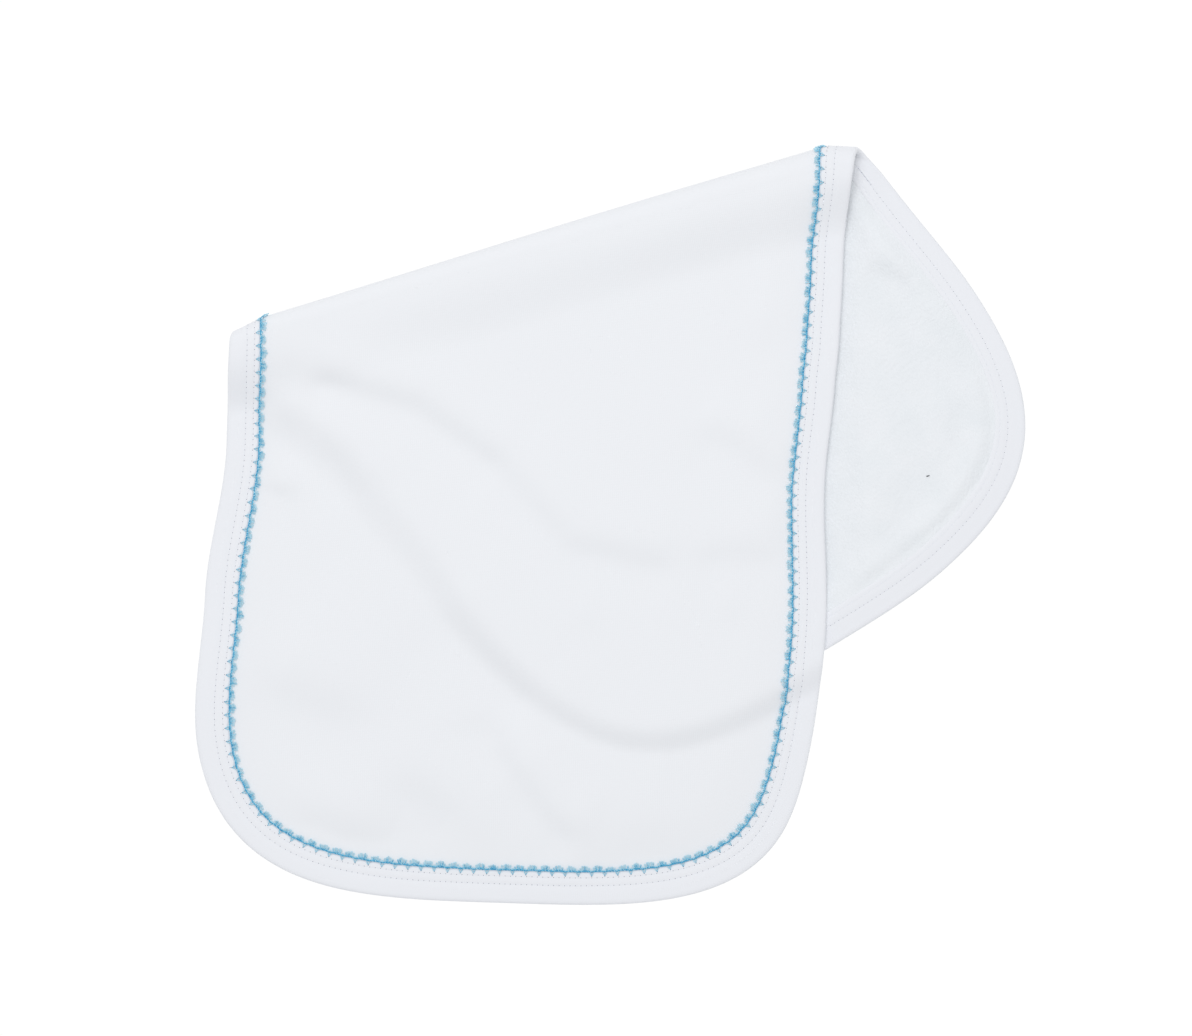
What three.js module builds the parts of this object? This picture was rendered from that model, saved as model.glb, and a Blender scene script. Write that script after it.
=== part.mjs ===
import * as THREE from "three";

// A burp cloth folded over once on a slanting line, lying flat. Millimetres, with z up from the surface.
// u runs across the flat cloth and v along it, from the end of the upper flap to the end of the lower one.

// The flat cut. Its ends are drawn as halves of a superellipse, so its corners are round.
const LENGTH = 482.1;
const WAIST_WIDTH = 257.4;
const END_WIDTH = 253.2;
const END_DEPTH = 120;
const CORNER_POWER = 3.55;

// The fold. Positive d is on the upper flap and negative d on the lower one.
const FOLD_FROM_END = 273.84;
const FOLD_SKEW = THREE.MathUtils.degToRad(19.4);
const FOLD_SLOPE = THREE.MathUtils.degToRad(16.8);
const FOLD_X = -28.71;
const FOLD_Y = 117.12;
const ROLL_RADIUS_LEFT = 5;
const ROLL_RADIUS_RIGHT = 6.8;
const ROLL_FLAT = 3;
const SETTLE = 26;
const FOLD_BOW = 0.9;
const FOLD_BOW_AT = 30;
const FOLD_BOW_REACH = 95;
const DROOP_LEFT = 2.2;
const DROOP_RIGHT = 4.1;
const DROOP_WIDTH = 16;
const DROOP_REACH = 18;

// The layers, as distances from the cloth's middle surface, positive towards the face.
const GAP = 0.3;
const FACE_THICK = 1;
const TERRY_THICK = 1.4;
const FACE_IN = GAP / 2;
const FACE_OUT = FACE_IN + FACE_THICK;
const TERRY_IN = -GAP / 2;
const TERRY_OUT = TERRY_IN - TERRY_THICK;
const BINDING_WIDTH = 13.3;
const BINDING_PROUD = 0.2;
const BINDING_ROUNDING = 1.6;
const TRIM_THICK = 1;
const TRIM_START = BINDING_WIDTH + 0.45;
const TRIM_JOINT = 0.7;
const TRIM_CROWN = 2.1;
const SCALLOP_PITCH = 5.25;
const SCALLOP_STEPS = 3;
const STRIP_START = BINDING_WIDTH + GAP;
const STRIP_END = STRIP_START + 3;

// Heights of the middle surface. The binding rests on the floor, and holds the rest just clear of it.
const LOWER_HEIGHT = FACE_OUT + BINDING_PROUD;
const FLAP_ON_FLOOR = -TERRY_OUT + BINDING_PROUD;
const FLAP_OVER_LOWER = 6.1;
const TRIM_LIFT = GAP + TRIM_THICK - 0.1;
const STEP_CLEAR = 1;
const STEP_LENGTH_LEFT = 20;
const STEP_LENGTH_RIGHT = 12;
const CORNER_PULL = 8.5;
const PUFF = 2.3;
const PUFF_FROM = 6;
const PUFF_FADE = 30;
const LOWER_PUFF = 1.6;
const LOWER_SHOWS_FROM = 94;

// How far the cloth's edges have shifted across it, at places along it.
const EDGE_SHIFTS = [
  { along: 0, left: -4.2, right: 0.2 },
  { along: 60, left: -5.4, right: -4 },
  { along: 120, left: -1.6, right: -1.7 },
  { along: 180, left: 5.8, right: -5.9 },
  { along: 215, left: 6.3, right: -4.4 },
  { along: 232, left: 6, right: -3.6 },
  { along: 262, left: 9, right: -3.1 },
  { along: 300, left: 20, right: -1.8 },
  { along: 340, left: 20.5, right: 0.2 },
  { along: 400, left: 17, right: 2.6 },
];

// Creases of the upper flap. Each runs through four places, and the cloth drops to the right of its run.
const FLAP_CREASES = [
  { x1: -126, y1: 64, x2: -108, y2: 59, x3: -77, y3: 50, x4: -39, y4: 23, drop: 4, wide: 4.5 },
  { x1: -50, y1: 33, x2: -27, y2: 7, x3: -16, y3: -6, x4: 32, y4: -16, drop: 3, wide: 5 },
  { x1: 27, y1: -14, x2: 47, y2: -10, x3: 57, y3: -10, x4: 74, y4: -14, drop: 2.3, wide: 5 },
  { x1: -141, y1: 50, x2: -122, y2: 41, x3: -108, y3: 29, x4: -96, y4: 9, drop: 2, wide: 5 },
  { x1: -75, y1: -27, x2: -57, y2: -43, x3: -41, y3: -61, x4: -20, y4: -87, drop: 2, wide: 6 },
  { x1: -48, y1: -71, x2: -44, y2: -89, x3: -26, y3: -115, x4: -8, y4: -131, drop: 3.5, wide: 5 },
  { x1: 31, y1: 44, x2: 35, y2: 41, x3: 53, y3: 33, x4: 74, y4: 15, drop: 3, wide: 5 },
  { x1: 48, y1: 81, x2: 58, y2: 78, x3: 66, y3: 77, x4: 78, y4: 71, drop: 2.8, wide: 8 },
  { x1: -147, y1: 16, x2: -140, y2: 15, x3: -132, y3: 14, x4: -122, y4: 14, drop: 2.8, wide: 4 },
  { x1: -152, y1: -51, x2: -136, y2: -63, x3: -112, y3: -73, x4: -86, y4: -79, drop: 4.4, wide: 10 },
  { x1: -100, y1: -97, x2: -80, y2: -105, x3: -62, y3: -117, x4: -50, y4: -133, drop: 4.2, wide: 9 },
  { x1: -138, y1: -111, x2: -116, y2: -118, x3: -98, y3: -125, x4: -80, y4: -133, drop: 3, wide: 9 },
  { x1: 38, y1: -35, x2: 44, y2: -36, x3: 50, y3: -35, x4: 60, y4: -33, drop: 1.8, wide: 5 },
  { x1: -8, y1: -115, x2: 4, y2: -120, x3: 18, y3: -124, x4: 34, y4: -125, drop: 1.8, wide: 9 },
  { x1: -20, y1: -35, x2: -13, y2: -39, x3: -6, y3: -39, x4: 4, y4: -37, drop: 1.5, wide: 6 },
  { x1: -150, y1: 72, x2: -134, y2: 70, x3: -118, y3: 66, x4: -94, y4: 60, drop: 4, wide: 8 },
];

// Creases of the lower flap, where it shows beside the upper one.
const LOWER_CREASES = [
  { x1: 98, y1: 109, x2: 112, y2: 105, x3: 122, y3: 101, x4: 134, y4: 93, drop: 2.6, wide: 4 },
  { x1: 126, y1: 99, x2: 140, y2: 82, x3: 147, y3: 69, x4: 153, y4: 51, drop: 1.6, wide: 5 },
  { x1: 136, y1: 21, x2: 137, y2: 34, x3: 138, y3: 45, x4: 139, y4: 59, drop: 1.4, wide: 4 },
  { x1: 104, y1: -17, x2: 110, y2: -5, x3: 116, y3: 11, x4: 122, y4: 35, drop: 1.9, wide: 7 },
  { x1: 120, y1: -13, x2: 138, y2: 3, x3: 150, y3: 17, x4: 160, y4: 39, drop: 1.3, wide: 3 },
];

// The mesh. Rows near the fold are parallel to it, at these distances from it.
const FOLD_ROWS = [36, 28, 22, 17, 12.5, 9.5, 6.5, 3.3, 0, -3.3, -6.5, -9.5, -12.5, -20];
const FLAP_ROW = 10;
const LOWER_ROW = 14;
const COLUMNS = 22;
const END_ROW = 11;
const ROUND_END_REACH = 42;
const SLANT_FULL = 60;
const SLANT_NONE = 150;
const PROBE = 0.4;

const smooth = (q) => {
  const c = THREE.MathUtils.clamp(q, 0, 1);
  return c * c * (3 - 2 * c);
};
const mix = THREE.MathUtils.lerp;
const skewTan = Math.tan(FOLD_SKEW);
const skewCos = Math.cos(FOLD_SKEW);
const skewSin = Math.sin(FOLD_SKEW);
const slopeCos = Math.cos(FOLD_SLOPE);
const slopeSin = Math.sin(FOLD_SLOPE);

function halfWidthAt(v) {
  const fromEnd = Math.min(v, LENGTH - v);
  if (fromEnd < END_DEPTH) {
    const w = Math.min(1, 1 - fromEnd / END_DEPTH);
    return (END_WIDTH / 2) * (1 - w ** CORNER_POWER) ** (1 / CORNER_POWER);
  }
  const q = Math.abs(v - LENGTH / 2) / (LENGTH / 2 - END_DEPTH);
  return mix(WAIST_WIDTH, END_WIDTH, smooth(q)) / 2;
}

// 0 at the middle of the cloth and 1 on its edge.
function outwardShare(u, v) {
  const fromEnd = Math.min(v, LENGTH - v);
  if (fromEnd >= END_DEPTH) return Math.abs(u) / halfWidthAt(v);
  const across = Math.abs(u) / (END_WIDTH / 2);
  const along = 1 - fromEnd / END_DEPTH;
  return (across ** CORNER_POWER + along ** CORNER_POWER) ** (1 / CORNER_POWER);
}

function outwardSlope(u, v) {
  const du = (outwardShare(u + PROBE, v) - outwardShare(u - PROBE, v)) / (2 * PROBE);
  const dv = (outwardShare(u, v + PROBE) - outwardShare(u, v - PROBE)) / (2 * PROBE);
  const size = Math.hypot(du, dv);
  return { u: du / size, v: dv / size, size };
}

// How far inside the flat cloth's edge a place is.
const insetAt = (u, v) => (1 - outwardShare(u, v)) / Math.max(outwardSlope(u, v).size, 1 / LENGTH);

function edgeShift(u, v) {
  const last = EDGE_SHIFTS.length - 1;
  let i = 0;
  while (i < last - 1 && EDGE_SHIFTS[i + 1].along < v) i += 1;
  const from = EDGE_SHIFTS[i];
  const to = EDGE_SHIFTS[i + 1];
  const q = smooth((v - from.along) / (to.along - from.along));
  const across = THREE.MathUtils.clamp(u / END_WIDTH + 0.5, 0, 1);
  return mix(mix(from.left, to.left, q), mix(from.right, to.right, q), across);
}

// How far the creases raise or lower a place. Each one fades at both ends of its run.
function creasesAt(creases, x, y) {
  let height = 0;
  for (const c of creases) {
    const path = [[c.x1, c.y1], [c.x2, c.y2], [c.x3, c.y3], [c.x4, c.y4]];
    let nearest = Infinity;
    let side = 0;
    let at = 0;
    let far = 0;
    for (let i = 0; i < 3; i += 1) {
      const [ax, ay] = path[i];
      const dx = path[i + 1][0] - ax;
      const dy = path[i + 1][1] - ay;
      const size = Math.hypot(dx, dy);
      const t = THREE.MathUtils.clamp(((x - ax) * dx + (y - ay) * dy) / size ** 2, 0, 1);
      const away = Math.hypot(x - ax - t * dx, y - ay - t * dy);
      if (away < nearest) {
        nearest = away;
        side = (y - ay) * dx > (x - ax) * dy ? away : -away;
        at = far + t * size;
      }
      far += size;
    }
    const fade = smooth(at / (3 * c.wide)) * smooth((far - at) / (3 * c.wide));
    height += ((fade * c.drop) / 2) * Math.tanh(side / c.wide) * Math.exp(-((side / (4 * c.wide)) ** 2));
  }
  return height;
}

// A height above what lies below, brought back to it where it would be under it.
const restAbove = (height) => Math.max(height, 0.1 * Math.max(height, -1) + 0.1);

// A gentle unevenness, so that no part of the upper flap is quite flat.
function unevenness(x, y) {
  return 0.35 * Math.sin(x / 17 + y / 41) + 0.3 * Math.sin(y / 19 - x / 37 + 1);
}

// The rim of the lower flap lies on the trim that is underneath it.
function lowerLift(inset) {
  const up = TRIM_LIFT * smooth((inset - 2) / (BINDING_WIDTH - 3));
  return up * (1 - smooth((inset - STRIP_END) / 12));
}

// How far the hidden corner of the lower flap is drawn towards the fold.
function cornerPull(u, v) {
  return CORNER_PULL * smooth((45 - u) / 120) * smooth((v - 325) / 120);
}

// The middle surface of the folded cloth.
function middle(u, v) {
  const d = (FOLD_FROM_END + u * skewTan - v) * skewCos;
  const along = u * skewCos + (v - FOLD_FROM_END) * skewSin;
  const radius = mix(ROLL_RADIUS_LEFT, ROLL_RADIUS_RIGHT, THREE.MathUtils.clamp(along / 240 + 0.5, 0, 1));
  const turn = THREE.MathUtils.clamp(d / radius, -Math.PI / 2, Math.PI / 2);
  const quarter = (radius * Math.PI) / 2;
  let inward = radius - radius * Math.cos(turn) + Math.max(-d - quarter, 0);
  let z = LOWER_HEIGHT + radius + radius * Math.sin(turn);
  const drop = 2 * radius - (FLAP_OVER_LOWER - LOWER_HEIGHT);
  const extra = (0.6 * drop * drop) / SETTLE;
  const level = THREE.MathUtils.clamp(d - quarter, 0, ROLL_FLAT);
  const past = Math.max(d - quarter - ROLL_FLAT, 0);
  const settled = Math.min(past / (SETTLE + extra), 1);
  inward += level + (settled < 1 ? settled * SETTLE : past - extra);
  z -= drop * smooth(settled);

  // The fold line is slightly bowed.
  inward -= FOLD_BOW * Math.exp(-(((along - FOLD_BOW_AT) / FOLD_BOW_REACH) ** 2)) * Math.exp(-((d / 60) ** 2));
  if (d < 0) inward -= cornerPull(u, v);

  const half = WAIST_WIDTH / 2 - DROOP_WIDTH;
  const nearFold = Math.exp(-((d / DROOP_REACH) ** 2));
  inward += DROOP_LEFT * smooth((-u - half) / DROOP_WIDTH) * nearFold;
  inward += DROOP_RIGHT * smooth((u - half) / DROOP_WIDTH) * nearFold;
  const sideways = along + edgeShift(u, v);
  const x = FOLD_X + sideways * slopeCos + inward * slopeSin;
  const y = FOLD_Y + sideways * slopeSin - inward * slopeCos;

  const inset = insetAt(u, v);
  if (d <= 0) {
    z += lowerLift(inset) * smooth(-d / radius - 0.3);
    const shown = smooth((x - LOWER_SHOWS_FROM) / 12) * smooth((-d - quarter) / 12) * smooth((inset - 10) / 10);
    z += restAbove(LOWER_PUFF * smooth((inset - 13) / 8) + creasesAt(LOWER_CREASES, x, y)) * shown;
    return new THREE.Vector3(x, y, z);
  }
  // Where the same place lies on the lower flap, as its own u and v.
  let underU = u;
  let underV = 2 * FOLD_FROM_END - v;
  for (let i = 0; i < 3; i += 1) {
    const across = sideways - edgeShift(underU, underV);
    const away = -(inward + quarter - radius + cornerPull(underU, underV));
    underU = across * skewCos + away * skewSin;
    underV = Math.min(FOLD_FROM_END + across * skewSin - away * skewCos, LENGTH + 60);
  }
  const stepLength = mix(STEP_LENGTH_LEFT, STEP_LENGTH_RIGHT, smooth((x + 120) / 100));
  const over = smooth((insetAt(underU, underV) + STEP_CLEAR + stepLength) / stepLength);
  z -= (FLAP_OVER_LOWER - FLAP_ON_FLOOR) * (1 - over) * smooth(settled);
  const creases = creasesAt(FLAP_CREASES, x, y) * smooth((inset - 6) / 14);
  z += restAbove(PUFF * smooth((inset - PUFF_FROM) / PUFF_FADE) + creases + unevenness(x, y)) * smooth(settled);
  return new THREE.Vector3(x, y, z);
}

// A place on the middle surface, moved out of it towards the face.
function layerPoint(u, v, out) {
  const acrossIt = middle(u + PROBE, v).sub(middle(u - PROBE, v));
  const alongIt = middle(u, v + PROBE).sub(middle(u, v - PROBE));
  return middle(u, v).addScaledVector(acrossIt.cross(alongIt).normalize(), out);
}

function rowPositions() {
  const rows = [];
  const first = FOLD_FROM_END - FOLD_ROWS[0] / skewCos;
  const last = FOLD_FROM_END - FOLD_ROWS[FOLD_ROWS.length - 1] / skewCos;
  const before = Math.round((first - END_ROW) / FLAP_ROW);
  const after = Math.round((LENGTH - END_ROW - last) / LOWER_ROW);
  for (let i = 0; i < before; i += 1) rows.push(mix(END_ROW, first, i / before));
  for (const d of FOLD_ROWS) rows.push(FOLD_FROM_END - d / skewCos);
  for (let i = 1; i <= after; i += 1) rows.push(mix(last, LENGTH - END_ROW, i / after));
  return rows;
}

// The end of a row on the cloth's edge; side is -1 for the left and 1 for the right.
function rowEnd(row, side) {
  const fromFold = Math.abs(row - FOLD_FROM_END);
  const slant = skewTan * (1 - smooth((fromFold - SLANT_FULL) / (SLANT_NONE - SLANT_FULL)));
  let v = row;
  for (let i = 0; i < 12; i += 1) v = row + slant * side * halfWidthAt(v);
  return { u: side * halfWidthAt(v), v };
}

function endRow(atBack, columns) {
  const places = [];
  const reach = rowEnd(END_ROW, 1).u;
  for (let i = 0; i <= columns; i += 1) {
    const u = mix(-reach, reach, i / columns);
    const share = (1 - Math.abs(u / (END_WIDTH / 2)) ** CORNER_POWER) ** (1 / CORNER_POWER);
    const v = END_DEPTH * (1 - share);
    places.push({ u, v: atBack ? LENGTH - v : v });
  }
  return places;
}

function inside(place, inset) {
  const out = outwardSlope(place.u, place.v);
  return { u: place.u - inset * out.u, v: place.v - inset * out.v };
}

// Places on the cloth's edge in order round it, and the grid of places inside the trim.
function layOut() {
  const rows = rowPositions();
  const last = rows.length - 1;
  const front = endRow(false, COLUMNS);
  const back = endRow(true, COLUMNS);
  const sideOf = (i, side) =>
    rows.map((row, j) => {
      if (j === 0) return front[i];
      return j === last ? back[i] : rowEnd(row, side);
    });
  const left = sideOf(0, -1);
  const right = sideOf(COLUMNS, 1);
  const frontIn = front.map((p) => inside(p, STRIP_END));
  const backIn = back.map((p) => inside(p, STRIP_END));
  const roundness = (row, end) => 1 - smooth(Math.abs(row - end) / ROUND_END_REACH);
  const bulge = (ends, i) => ends[i].v - mix(ends[0].v, ends[COLUMNS].v, i / COLUMNS);
  const grid = rows.map((row, j) => {
    const from = inside(left[j], STRIP_END);
    const to = inside(right[j], STRIP_END);
    return front.map((_, i) => {
      const share = i / COLUMNS;
      const frontPart = roundness(row, rows[0]) * bulge(frontIn, i);
      const backPart = roundness(row, rows[last]) * bulge(backIn, i);
      let u = mix(from.u, to.u, share);
      if (j === 0) u = frontIn[i].u;
      if (j === last) u = backIn[i].u;
      return { u, v: mix(from.v, to.v, share) + frontPart + backPart };
    });
  });
  const edge = [];
  for (let i = 0; i <= COLUMNS; i += 1) edge.push({ place: front[i], j: 0, i });
  for (let j = 1; j < last; j += 1) edge.push({ place: right[j], j, i: COLUMNS });
  for (let i = COLUMNS; i >= 0; i -= 1) edge.push({ place: back[i], j: last, i });
  for (let j = last - 1; j > 0; j -= 1) edge.push({ place: left[j], j, i: 0 });
  return { grid, edge };
}

function solid(name, points, triangles, material) {
  const geometry = new THREE.BufferGeometry();
  const places = points.flatMap((p) => p.toArray());
  geometry.setAttribute("position", new THREE.Float32BufferAttribute(places, 3));
  geometry.setIndex(triangles.flat());
  geometry.computeVertexNormals();
  const mesh = new THREE.Mesh(geometry, material);
  mesh.name = name;
  return mesh;
}

// A closed sheet over the grid and the strip round it, between two distances from the middle surface.
function panel(name, { grid, edge }, low, high, material) {
  const points = [];
  const triangles = [];
  const width = COLUMNS + 1;
  const perSide = grid.length * width + edge.length;
  for (const out of [high, low]) {
    for (const row of grid) for (const p of row) points.push(layerPoint(p.u, p.v, out));
    for (const e of edge) {
      const p = inside(e.place, STRIP_START);
      points.push(layerPoint(p.u, p.v, out));
    }
  }
  const both = (a, b, c) => {
    triangles.push([a, b, c]);
    triangles.push([a + perSide, c + perSide, b + perSide]);
  };
  for (let j = 0; j + 1 < grid.length; j += 1) {
    for (let i = 0; i < COLUMNS; i += 1) {
      const a = j * width + i;
      both(a, a + 1, a + width + 1);
      both(a, a + width + 1, a + width);
    }
  }
  const rim = grid.length * width;
  edge.forEach((e, k) => {
    const next = (k + 1) % edge.length;
    const a = e.j * width + e.i;
    const b = edge[next].j * width + edge[next].i;
    both(rim + k, rim + next, b);
    both(rim + k, b, a);
    triangles.push([rim + k + perSide, rim + next + perSide, rim + next]);
    triangles.push([rim + k + perSide, rim + next, rim + k]);
  });
  return solid(name, points, triangles, material);
}

// A closed band: rings of points, each ring joined to the next and the last to the first.
function band(name, rings, material) {
  const size = rings[0].length;
  const triangles = [];
  rings.forEach((_, k) => {
    const a = k * size;
    const b = ((k + 1) % rings.length) * size;
    for (let m = 0; m < size; m += 1) {
      const n = (m + 1) % size;
      triangles.push([a + m, b + m, b + n]);
      triangles.push([a + m, b + n, a + n]);
    }
  });
  return solid(name, rings.flat(), triangles, material);
}

function bindingRings({ edge }) {
  const face = FACE_OUT + BINDING_PROUD;
  const back = TERRY_OUT - BINDING_PROUD;
  const rounding = BINDING_ROUNDING;
  const section = [
    { inset: 0, out: back + rounding / 2 + 0.2 },
    { inset: 0, out: face - rounding / 2 - 0.2 },
    { inset: rounding, out: face },
    { inset: BINDING_WIDTH - rounding, out: face },
    { inset: BINDING_WIDTH, out: face - GAP },
    { inset: BINDING_WIDTH, out: back + GAP },
    { inset: BINDING_WIDTH - rounding, out: back },
    { inset: rounding, out: back },
  ];
  return edge.map((e) => section.map((s) => {
    const p = inside(e.place, s.inset);
    return layerPoint(p.u, p.v, s.out);
  }));
}

// The trim lies on the strip of the face beside the binding. It follows the strip's own flat facets.
function trimRings({ edge }) {
  const base = FACE_OUT + GAP + 0.04;
  const strip = edge.map((e) => {
    const start = inside(e.place, STRIP_START);
    const end = inside(e.place, STRIP_END);
    return [base, base + TRIM_THICK].map((out) => [
      layerPoint(start.u, start.v, out),
      layerPoint(end.u, end.v, out),
    ]);
  });
  const middles = edge.map((e) => inside(e.place, TRIM_START + 1));
  const travelled = [0];
  middles.forEach((p, k) => {
    const q = middles[(k + 1) % middles.length];
    travelled.push(travelled[k] + Math.hypot(q.u - p.u, q.v - p.v));
  });
  const total = travelled[middles.length];
  const count = Math.round(total / SCALLOP_PITCH) * SCALLOP_STEPS;
  // The rings are evenly spaced, but for those moved to the lines where the strip bends.
  const ringAt = Array.from({ length: count }, (_, n) => (total * n) / count);
  middles.forEach((_, n) => {
    ringAt[Math.min(Math.round((travelled[n] / total) * count), count - 1)] = travelled[n];
  });
  const rings = [];
  let k = 0;
  for (let n = 0; n < count; n += 1) {
    while (travelled[k + 1] <= ringAt[n]) k += 1;
    const share = (ringAt[n] - travelled[k]) / (travelled[k + 1] - travelled[k]);
    const here = strip[k];
    const next = strip[(k + 1) % strip.length];
    const place = (inset, level) => {
      const q = (inset - STRIP_START) / (STRIP_END - STRIP_START);
      const [outer, inner] = here[level];
      const [outerNext, innerNext] = next[level];
      if (share < q) return outer.clone().lerp(inner, q).addScaledVector(innerNext.clone().sub(inner), share);
      return outer.clone().lerp(outerNext, share).addScaledVector(innerNext.clone().sub(outerNext), q);
    };
    const bulge = Math.abs(Math.sin((Math.PI * n) / SCALLOP_STEPS));
    const inner = TRIM_START + mix(TRIM_JOINT, TRIM_CROWN, bulge);
    rings.push([place(TRIM_START, 0), place((TRIM_START + inner) / 2, 1), place(inner, 0)]);
  }
  return rings;
}

const cloth = (color, roughness) => new THREE.MeshStandardMaterial({ color, roughness, metalness: 0 });

const plan = layOut();
const group = new THREE.Group();
group.name = "burp_cloth";
group.add(panel("face_panel", plan, FACE_IN, FACE_OUT, cloth(0xeef0f4, 0.9)));
group.add(panel("terry_panel", plan, TERRY_OUT, TERRY_IN, cloth(0xeaedee, 0.97)));
group.add(band("edge_binding", bindingRings(plan), cloth(0xeaeef4, 0.88)));
group.add(band("picot_trim", trimRings(plan), cloth(0x5aafd7, 0.75)));

export default group;
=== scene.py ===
import math

import bpy
import numpy as np
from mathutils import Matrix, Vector


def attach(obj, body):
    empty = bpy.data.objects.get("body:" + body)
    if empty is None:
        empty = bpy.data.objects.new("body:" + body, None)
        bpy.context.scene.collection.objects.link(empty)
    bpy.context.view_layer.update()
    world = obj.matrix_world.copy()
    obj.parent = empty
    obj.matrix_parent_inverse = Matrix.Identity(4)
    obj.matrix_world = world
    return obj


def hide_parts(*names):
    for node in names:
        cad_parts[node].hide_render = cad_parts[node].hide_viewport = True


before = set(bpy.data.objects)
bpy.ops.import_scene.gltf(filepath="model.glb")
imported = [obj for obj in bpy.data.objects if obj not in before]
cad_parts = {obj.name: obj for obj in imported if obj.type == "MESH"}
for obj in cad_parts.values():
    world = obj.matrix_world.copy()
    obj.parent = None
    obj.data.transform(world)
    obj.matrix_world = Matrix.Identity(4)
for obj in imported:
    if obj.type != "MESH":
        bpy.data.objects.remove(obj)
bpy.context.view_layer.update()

# The cloth's sizes are those of the solids, in millimetres. u runs across the flat cloth and v along it.
LENGTH, WAIST_WIDTH, END_WIDTH, END_DEPTH, CORNER_POWER = 482.1, 257.4, 253.2, 120.0, 3.55
FOLD_FROM_END, FOLD_X, FOLD_Y = 273.84, -28.71, 117.12
SKEW, SLOPE = math.radians(19.4), math.radians(16.8)
ROLL_RADIUS_LEFT, ROLL_RADIUS_RIGHT, ROLL_FLAT, SETTLE = 5.0, 6.8, 3.0, 26.0
FOLD_BOW, FOLD_BOW_AT, FOLD_BOW_REACH, CORNER_PULL = 0.9, 30.0, 95.0, 8.5
DROOP_LEFT, DROOP_RIGHT, DROOP_WIDTH, DROOP_REACH = 2.2, 4.1, 16.0, 18.0
FACE_IN, FACE_OUT, TERRY_IN, TERRY_OUT = 0.15, 1.15, -0.15, -1.55
BINDING_WIDTH, BINDING_PROUD = 13.3, 0.2
STRIP_END, PANEL_INSET = 16.6, 11.9
SCALLOP_PITCH, TRIM_MIDDLE = 5.25, 14.75
LOWER_HEIGHT, FLAP_ON_FLOOR, FLAP_OVER_LOWER = FACE_OUT + BINDING_PROUD, 1.75, 6.1
TRIM_LIFT, STEP_CLEAR, STEP_LENGTH_LEFT, STEP_LENGTH_RIGHT = 1.2, 1.0, 20.0, 12.0
PUFF, PUFF_FROM, PUFF_FADE, LOWER_PUFF, LOWER_SHOWS_FROM = 2.3, 6.0, 30.0, 1.6, 94.0

# Along the cloth: how far its left and right edges have shifted across it.
EDGE_SHIFTS = np.array([
    [0, -4.2, 0.2], [60, -5.4, -4], [120, -1.6, -1.7], [180, 5.8, -5.9], [215, 6.3, -4.4],
    [232, 6, -3.6], [262, 9, -3.1], [300, 20, -1.8], [340, 20.5, 0.2], [400, 17, 2.6],
])
# Creases: four places along each one, how far the cloth drops to the right of that run, and the half width.
FLAP_CREASES = [
    (-126, 64, -108, 59, -77, 50, -39, 23, 4, 4.5), (-50, 33, -27, 7, -16, -6, 32, -16, 3, 5),
    (27, -14, 47, -10, 57, -10, 74, -14, 2.3, 5), (-141, 50, -122, 41, -108, 29, -96, 9, 2, 5),
    (-75, -27, -57, -43, -41, -61, -20, -87, 2, 6), (-48, -71, -44, -89, -26, -115, -8, -131, 3.5, 5),
    (31, 44, 35, 41, 53, 33, 74, 15, 3, 5), (48, 81, 58, 78, 66, 77, 78, 71, 2.8, 8),
    (-147, 16, -140, 15, -132, 14, -122, 14, 2.8, 4), (-152, -51, -136, -63, -112, -73, -86, -79, 4.4, 10),
    (-100, -97, -80, -105, -62, -117, -50, -133, 4.2, 9),
    (-138, -111, -116, -118, -98, -125, -80, -133, 3, 9), (38, -35, 44, -36, 50, -35, 60, -33, 1.8, 5),
    (-8, -115, 4, -120, 18, -124, 34, -125, 1.8, 9), (-20, -35, -13, -39, -6, -39, 4, -37, 1.5, 6),
    (-150, 72, -134, 70, -118, 66, -94, 60, 4, 8),
]
LOWER_CREASES = [
    (98, 109, 112, 105, 122, 101, 134, 93, 2.6, 4), (126, 99, 140, 82, 147, 69, 153, 51, 1.6, 5),
    (136, 21, 137, 34, 138, 45, 139, 59, 1.4, 4), (104, -17, 110, -5, 116, 11, 122, 35, 1.9, 7),
    (120, -13, 138, 3, 150, 17, 160, 39, 1.3, 3),
]

# The finer mesh, with millimetres between its rows. Rows near the fold are parallel to it.
FACE_ROW, FACE_COLUMNS = 2.4, 104
TERRY_ROW, TERRY_FINE_ROW, TERRY_COLUMNS = 3.0, 0.95, 230
FOLD_ROW, FOLD_ROWS_ABOVE, FOLD_ROWS_BELOW, ROUND_END_REACH = 1.0, 38.0, 20.0, 42.0
SCALLOP_STEPS = 8
END_ROW, SLANT_FULL, SLANT_NONE, PROBE = 11.0, 60.0, 150.0, 0.4
NEEDLE_ROWS, STITCH_PITCH = (8.0, 11.3), 2.16


def smooth(q):
    c = np.clip(q, 0, 1)
    return c * c * (3 - 2 * c)


def mix(a, b, q):
    return a + (b - a) * q


def half_width_at(v):
    from_end = np.minimum(v, LENGTH - v)
    w = np.clip(1 - from_end / END_DEPTH, 0, 1)
    at_end = END_WIDTH / 2 * (1 - w**CORNER_POWER) ** (1 / CORNER_POWER)
    q = np.abs(v - LENGTH / 2) / (LENGTH / 2 - END_DEPTH)
    return np.where(from_end < END_DEPTH, at_end, mix(WAIST_WIDTH, END_WIDTH, smooth(q)) / 2)


def outward_share(u, v):
    """0 at the middle of the flat cloth and 1 on its edge."""
    from_end = np.minimum(v, LENGTH - v)
    along = np.maximum(1 - from_end / END_DEPTH, 0)
    at_end = ((np.abs(u) / (END_WIDTH / 2)) ** CORNER_POWER + along**CORNER_POWER) ** (1 / CORNER_POWER)
    inner = np.abs(u) / half_width_at(np.clip(v, END_DEPTH, LENGTH - END_DEPTH))
    return np.where(from_end >= END_DEPTH, inner, at_end)


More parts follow.
